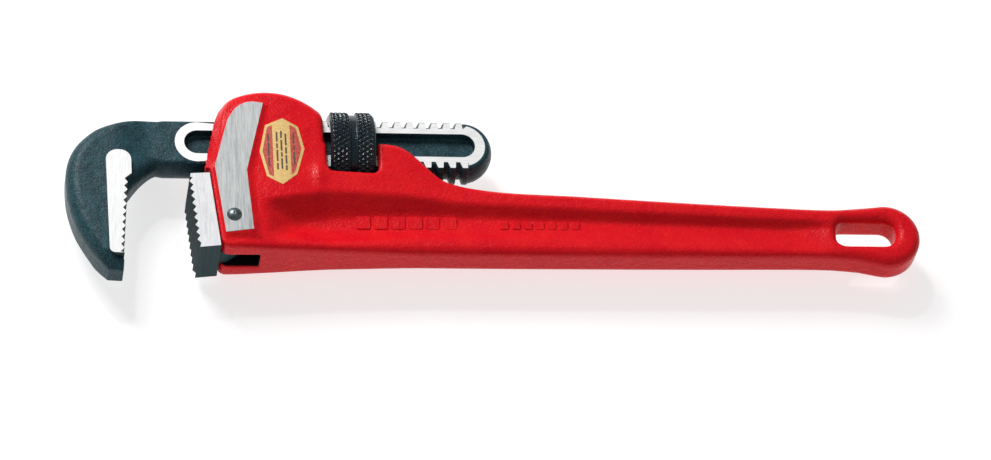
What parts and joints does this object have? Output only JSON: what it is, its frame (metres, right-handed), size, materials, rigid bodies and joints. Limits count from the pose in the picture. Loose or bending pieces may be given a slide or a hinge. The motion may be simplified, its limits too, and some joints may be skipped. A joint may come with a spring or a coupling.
{
  "type": "straight pipe wrench",
  "caption": "Straight pipe wrench with an I-beam handle, sliding toothed hook jaw, knurled adjusting nut, pinned toothed heel jaw and spring-loaded jaw rock.",
  "frame": {"origin": "middle of the underside of the wrench lying on its side with the jaw as pictured; the lowest point is the rim of the adjusting nut", "axes": "+X along the shank towards the end of the handle, +Y from the heel jaw side to the shank side, +Z through the thickness"},
  "size_m": [0.3523, 0.0816, 0.0328],
  "materials": {
    "red_enamel": "glossy red enamel on a rough iron casting, side pads ground bare",
    "black_forging": "dark oxide on a fine-grained forging, sides ground bright at the teeth and shank",
    "black_nut": "dark oxide, diamond knurled",
    "heel_steel": "dark oxide, sides ground bright",
    "bright_steel": "smooth domed head",
    "spring_steel": "blued spring steel",
    "label_foil": "gold foil with red panels, no lettering"
  },
  "bodies": {
    "handle": {"handle": "red_enamel", "heel_jaw": "heel_steel", "heel_jaw_pin": "bright_steel", "coil_spring": "spring_steel", "label": "label_foil"},
    "rocker": {"flat_spring": "spring_steel"},
    "hook_jaw": {"hook_jaw": "black_forging"},
    "nut": {"adjusting_nut": "black_nut"}
  },
  "joints": [
    {"name": "jaw_rock", "type": "hinge", "parent": "handle", "child": "rocker", "pos_m": [-0.05825, 0.01855, 0.0164], "axis": [0, 0, 1], "range_deg": [0, 2.5], "stiffness_Nm_per_rad": 6, "springref_deg": -2.86, "deforming": ["coil_spring"]},
    {"name": "jaw_slide", "type": "slide", "parent": "rocker", "child": "hook_jaw", "axis": [1, 0, 0], "range_m": [-0.034, 0.016]},
    {"name": "nut_spin", "type": "hinge", "parent": "rocker", "child": "nut", "pos_m": [-0.05825, 0.01855, 0.0164], "axis": [1, 0, 0], "range_deg": [-1135, 2410]}
  ],
  "couplings": [
    {"joint": "nut_spin", "follows": "jaw_slide", "rad_per_m": -1236.8}
  ]
}
